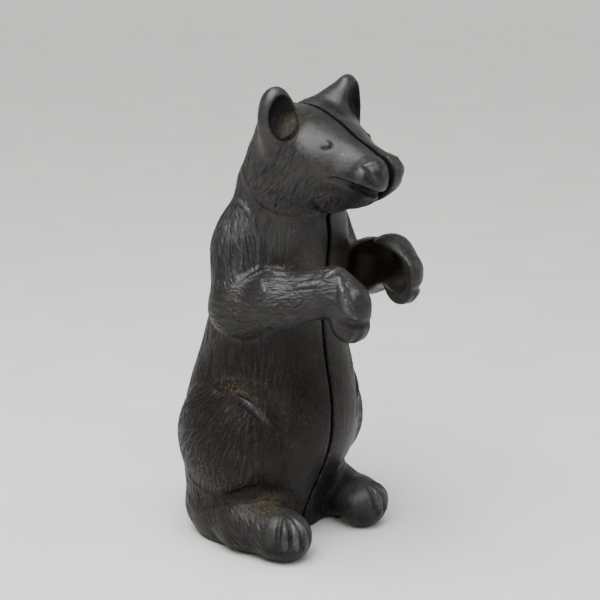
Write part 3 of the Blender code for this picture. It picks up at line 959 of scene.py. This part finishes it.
def fill(tree, made, inputs):
    """Sets a node's inputs to values or links them to sockets."""
    for name, value in dict(inputs).items():
        socket = made.inputs[name]
        if isinstance(value, bpy.types.NodeSocket):
            tree.links.new(value, socket)
        else:
            socket.default_value = value


def node(tree, kind, settings=(), inputs=()):
    made = tree.nodes.new("ShaderNode" + kind)
    for name, value in dict(settings).items():
        setattr(made, name, value)
    fill(tree, made, inputs)
    return made


def noise(tree, place, size, detail=3.0, rough=0.55):
    """Noise whose lumps are about size millimetres across."""
    made = node(tree, "TexNoise", (), {
        "Vector": place, "Scale": 1.0 / size, "Detail": detail, "Roughness": rough})
    return made.outputs["Fac"]


def ramp(tree, value, low, high, bottom=0.0, top=1.0):
    """value mapped from low..high to bottom..top, smoothly and clamped."""
    made = node(tree, "MapRange", {"interpolation_type": "SMOOTHSTEP"}, {
        "Value": value, "From Min": low, "From Max": high, "To Min": bottom, "To Max": top})
    return made.outputs["Result"]


def maths(tree, operation, a, b=0.0):
    return node(tree, "Math", {"operation": operation}, {0: a, 1: b}).outputs[0]


def times(tree, a, b):
    return maths(tree, "MULTIPLY", a, b)


def blend_colour(tree, share, a, b):
    made = node(tree, "Mix", {"data_type": "RGBA"}, {"Factor": share})
    a, b = (value if isinstance(value, bpy.types.NodeSocket) else (*value, 1.0) for value in (a, b))
    fill(tree, made, {MIX_A: a, MIX_B: b})
    return made.outputs[MIX_COLOUR]


def glaze(tree, colour, share, strength, tint):
    """colour with so much of share tinted over it."""
    return blend_colour(tree, times(tree, share, strength), colour, tint)


def attribute(tree, name):
    return node(tree, "Attribute", {"attribute_name": name}).outputs["Fac"]


def millimetres(tree):
    """The surface's own place, in millimetres."""
    place = node(tree, "TexCoord").outputs["Object"]
    scaled = node(tree, "VectorMath", {"operation": "SCALE"}, {0: place, "Scale": 1.0 / MM})
    return scaled.outputs[0]


def new_material(name):
    made = bpy.data.materials.new(name)
    made.use_nodes = True
    return made, made.node_tree, made.node_tree.nodes["Principled BSDF"]


def hair_lines(tree, place):
    """Fine combed lines that follow the hair's chart, a little wavy."""
    chart = node(tree, "Attribute", {"attribute_name": "hair_place"}).outputs["Vector"]
    wave = times(tree, maths(tree, "SUBTRACT", noise(tree, place, 8.0, 2.0), 0.5), 5.0)
    sway = node(tree, "CombineXYZ", (), {"Y": wave}).outputs[0]
    swayed = node(tree, "VectorMath", {"operation": "ADD"}, {0: chart, 1: sway}).outputs[0]
    drawn = node(tree, "VectorMath", {"operation": "MULTIPLY"}, {0: swayed, 1: (0.085, 0.68, 1.0)})
    return noise(tree, drawn.outputs[0], 1.0, 2.0, 0.5)


def bump(tree, height, strength, distance_mm, under=None):
    inputs = {"Height": height, "Strength": strength, "Distance": distance_mm * MM}
    if under is not None:
        inputs["Normal"] = under
    return node(tree, "Bump", (), inputs).outputs["Normal"]


def cast_iron():
    """Old black-finished iron: satin, grainy, rubbed bright on what stands out with a painted highlight
    there, painted shade in hollows and grooves, and painted light that darkens it towards the bottom.
    """
    made, tree, surface = new_material("old_black_cast_iron")
    place = millimetres(tree)
    clouds = noise(tree, place, 26.0, 4.0)
    patches = noise(tree, place, 7.0, 4.0, 0.6)
    grain = noise(tree, place, 1.1, 4.0, 0.6)
    sand = noise(tree, place, 0.34, 2.0)
    specks = noise(tree, place, 0.9, 1.0)
    wear_and_sheen, sunken = attribute(tree, "wear_and_sheen"), attribute(tree, "sunken")
    inside, patina = attribute(tree, "inside"), attribute(tree, "patina")
    strands = hair_lines(tree, place)
    hair = attribute(tree, "hair")

    # Painted light: the base colour runs darker towards the bottom and lighter towards the top, as the
    # overhead light falls, and the lighter patches show more higher up.
    high = ramp(tree, node(tree, "SeparateXYZ", (), {0: place}).outputs["Z"], 70.0, 150.0)
    dark = blend_colour(tree, high, (0.0068, 0.0058, 0.0052), (0.0120, 0.0116, 0.0116))
    light = blend_colour(tree, high, (0.0130, 0.0112, 0.0098), (0.0260, 0.0250, 0.0242))
    colour = blend_colour(tree, ramp(tree, clouds, 0.36, 0.66), dark, light)
    patchy = ramp(tree, patches, 0.45, 0.72, 0.0, 0.6)
    colour = glaze(tree, colour, patchy, ramp(tree, high, 0.0, 1.0, 0.45, 1.0), (0.0360, 0.0340, 0.0325))
    colour = blend_colour(tree, ramp(tree, grain, 0.50, 0.76, 0.0, 0.55), colour, (0.044, 0.041, 0.038))
    colour = blend_colour(tree, ramp(tree, grain, 0.48, 0.28, 0.0, 0.6), colour, (0.0040, 0.0036, 0.0034))
    colour = glaze(tree, colour, hair, ramp(tree, strands, 0.5, 0.72, 0.0, 0.3), (0.040, 0.038, 0.036))
    # Painted highlight on the raised lips beside the hair grooves.
    colour = glaze(tree, colour, attribute(tree, "lip"), 0.18, (0.040, 0.038, 0.036))
    dust = times(tree, attribute(tree, "dust"), ramp(tree, patches, 0.3, 0.7, 0.5, 1.0))
    colour = glaze(tree, colour, dust, 0.8, (0.052, 0.053, 0.053))
    # Painted shade: the sunken places, mouth, ear cup, rim, scoop underside and hair grooves are painted
    # near-black.
    sunk = ramp(tree, sunken, 0.08, 0.75, 0.0, 0.75)
    sunk = maths(tree, "MAXIMUM", sunk, times(tree, attribute(tree, "groove"), 0.75))
    colour = blend_colour(tree, sunk, colour, (0.0046, 0.0042, 0.0040))
    # Rubbed bright: real wear on what stands out, with a painted highlight on the same crests.
    rubbed_and_sheen = times(tree, ramp(tree, wear_and_sheen, 0.12, 0.9), ramp(tree, patches, 0.32, 0.62, 0.25, 1.0))
    rubbed_and_sheen = times(tree, rubbed_and_sheen, ramp(tree, grain, 0.36, 0.62, 0.35, 1.0))
    colour = glaze(tree, colour, rubbed_and_sheen, 0.75, (0.085, 0.084, 0.086))
    chips = times(tree, attribute(tree, "rim"), ramp(tree, grain, 0.56, 0.66))
    colour = glaze(tree, colour, chips, 0.7, (0.17, 0.16, 0.15))
    dusty = times(tree, patina, ramp(tree, grain, 0.44, 0.60, 0.05, 1.0))
    rusty = blend_colour(tree, ramp(tree, patches, 0.42, 0.62), (0.108, 0.102, 0.050), (0.125, 0.084, 0.042))
    colour = blend_colour(tree, dusty, colour, rusty)
    pale = ramp(tree, specks, 0.745, 0.80)
    colour = glaze(tree, colour, pale, ramp(tree, clouds, 0.45, 0.6), (0.24, 0.21, 0.15))
    colour = glaze(tree, colour, inside, 0.85, (0.026, 0.018, 0.013))

    rough = ramp(tree, clouds, 0.3, 0.7, 0.35, 0.46)
    rough = maths(tree, "ADD", rough, ramp(tree, grain, 0.3, 0.75, -0.05, 0.09))
    rough = maths(tree, "SUBTRACT", rough, times(tree, rubbed_and_sheen, 0.16))
    rough = maths(tree, "ADD", rough, times(tree, dusty, 0.28))
    rough = maths(tree, "ADD", rough, times(tree, inside, 0.2))
    gloss = maths(tree, "ADD", ramp(tree, high, 0.0, 1.0, 0.13, 0.40), times(tree, rubbed_and_sheen, 0.35))
    gloss = maths(tree, "ADD", gloss, times(tree, dust, 0.2))
    # less gloss where the shade is painted
    gloss = times(tree, gloss, ramp(tree, sunken, 0.3, 0.8, 1.0, 0.2))

    combed = times(tree, strands, hair)
    relief = bump(tree, combed, 0.9, 0.9)
    relief = bump(tree, patches, 0.45, 0.55, relief)
    relief = bump(tree, grain, 0.6, 0.22, relief)
    relief = bump(tree, sand, 0.35, 0.06, relief)
    fill(tree, surface, {"Base Color": colour, "Roughness": rough, "Metallic": 0.3,
                         "Specular IOR Level": gloss, "Normal": relief})
    return made


def pin_steel():
    """Dull drawn steel, browned by age, with fine lines along its length."""
    made, tree, surface = new_material("aged_pin_steel")
    place = millimetres(tree)
    clouds = noise(tree, place, 5.0, 4.0)
    grain = noise(tree, place, 0.6, 3.0)
    drawn = node(tree, "VectorMath", {"operation": "MULTIPLY"}, {0: place, 1: (1.0, 1.0, 0.05)})
    lines = noise(tree, drawn.outputs[0], 0.35, 2.0)
    colour = blend_colour(tree, ramp(tree, clouds, 0.4, 0.62), (0.17, 0.16, 0.15), (0.085, 0.055, 0.035))
    colour = blend_colour(tree, ramp(tree, grain, 0.55, 0.75, 0.0, 0.6), colour, (0.24, 0.23, 0.22))
    relief = bump(tree, lines, 0.3, 0.05, bump(tree, grain, 0.4, 0.08))
    fill(tree, surface, {"Base Color": colour, "Roughness": ramp(tree, clouds, 0.35, 0.65, 0.34, 0.58),
                         "Metallic": 0.85, "Normal": relief})
    return made


def pale_floor():
    made, tree, surface = new_material("pale_floor")
    place = millimetres(tree)
    mottle = noise(tree, place, 60.0, 4.0)
    colour = blend_colour(tree, ramp(tree, mottle, 0.35, 0.65), (0.70, 0.69, 0.675), (0.73, 0.72, 0.705))
    fill(tree, surface, {"Base Color": colour, "Roughness": 0.7})
    return made


# ---- stage
CAMERA_AWAY = 0.765      # metres along the floor from the bear's middle
CAMERA_HIGH = 0.334
CAMERA_TURN = 48.0       # degrees from straight ahead, to the bear's right
CAMERA_TILT = 16.0       # degrees down
CAMERA_SHIFT = 0.0009    # metres to the left of the bear's middle
CAMERA_LENS = 104.4
SENSOR = 36.0
FRAME_FWD = -3.5
FLOOR_SIDES = 96
FLOOR_GAP = 0.0002
# The floor's radius and height, curving up into a plain wall (metres).
FLOOR_PROFILE = [(0.5, 0.0), (2.0, 0.0)] + [
    (2.0 + math.sin(math.radians(a)), 1.0 - math.cos(math.radians(a))) for a in range(6, 91, 6)
] + [(3.0, 2.6)]


def add_camera():
    turn = math.radians(CAMERA_TURN)
    view = bpy.data.cameras.new("camera")
    view.lens = CAMERA_LENS
    view.sensor_width = SENSOR
    view.clip_end = 20.0
    place = (
        -math.sin(turn) * CAMERA_AWAY - math.cos(turn) * CAMERA_SHIFT,
        -math.cos(turn) * CAMERA_AWAY + math.sin(turn) * CAMERA_SHIFT + FRAME_FWD * MM,
        CAMERA_HIGH)
    bpy.context.scene.camera = add_object(
        "camera", view, place, (math.radians(90.0 - CAMERA_TILT), 0.0, -turn))


def add_area_light(name, place, target, size, watts, colour=(1.0, 1.0, 1.0)):
    lamp = bpy.data.lights.new(name, "AREA")
    lamp.shape = "RECTANGLE"
    lamp.size, lamp.size_y = size
    lamp.energy = watts
    lamp.color = colour
    aim = Vector(target) - Vector(place)
    add_object(name, lamp, place, aim.to_track_quat("-Z", "Y").to_euler())


def add_floor():
    points, faces = [(0.0, 0.0, 0.0)], []
    for radius, height in FLOOR_PROFILE:
        for k in range(FLOOR_SIDES):
            turn = 2 * math.pi * k / FLOOR_SIDES
            points.append((radius * math.cos(turn), radius * math.sin(turn), height))
    for k in range(FLOOR_SIDES):
        after = (k + 1) % FLOOR_SIDES
        faces.append((0, 1 + k, 1 + after))
        for ring in range(len(FLOOR_PROFILE) - 1):
            low, high = 1 + ring * FLOOR_SIDES, 1 + (ring + 1) * FLOOR_SIDES
            faces.append((low + k, high + k, high + after, low + after))
    data = bpy.data.meshes.new("floor")
    data.from_pydata(points, [], faces)
    data.shade_smooth()
    data.materials.append(pale_floor())
    floor = add_object("floor", data, (0.0, 0.0, CAD_BOX[0][2] - FLOOR_GAP))


def add_lights():
    middle = (0.0, 0.0, 0.11)
    add_area_light("overhead", (-0.28, -0.05, 0.85), middle, (0.7, 0.7), 11.0)
    add_area_light("window", (-1.1, -0.35, 0.70), middle, (0.6, 0.8), 4.0, (1.0, 0.99, 0.97))
    add_area_light("side", (0.9, -0.9, 0.55), middle, (0.7, 0.7), 2.6, (0.97, 0.98, 1.0))
    sun = bpy.data.lights.new("daylight", "SUN")
    sun.energy = 2.3
    sun.angle = math.radians(60.0)
    add_object("daylight", sun, turn=(math.radians(14.0), math.radians(-16.0), 0.0))
    world = bpy.data.worlds.new("studio")
    world.use_nodes = True
    background = world.node_tree.nodes["Background"]
    fill(world.node_tree, background, {"Color": (0.80, 0.80, 0.80, 1.0), "Strength": 0.28})
    bpy.context.scene.world = world


# ---- the nutcracker
add_camera()
add_floor()
add_lights()
iron = cast_iron()
right = {"side": -1, "lift": 0.0, "paw": RIGHT_PAW, "knuckles": RIGHT_KNUCKLES}
left = {"side": 1, "lift": LEFT_ARM_LIFT, "paw": LEFT_PAW, "knuckles": LEFT_KNUCKLES}
for label, half in (("right", right), ("left", left)):
    piece = make_casting(label + "_casting", half, iron)
    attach(piece, label + "_side")
    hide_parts(label + "_half")

pin = frame["nodes"]["hinge_pin"]
pin.data.materials.clear()
pin.data.materials.append(pin_steel())
pin.data.shade_smooth()
pin.data.set_sharp_from_angle(angle=math.radians(35.0))
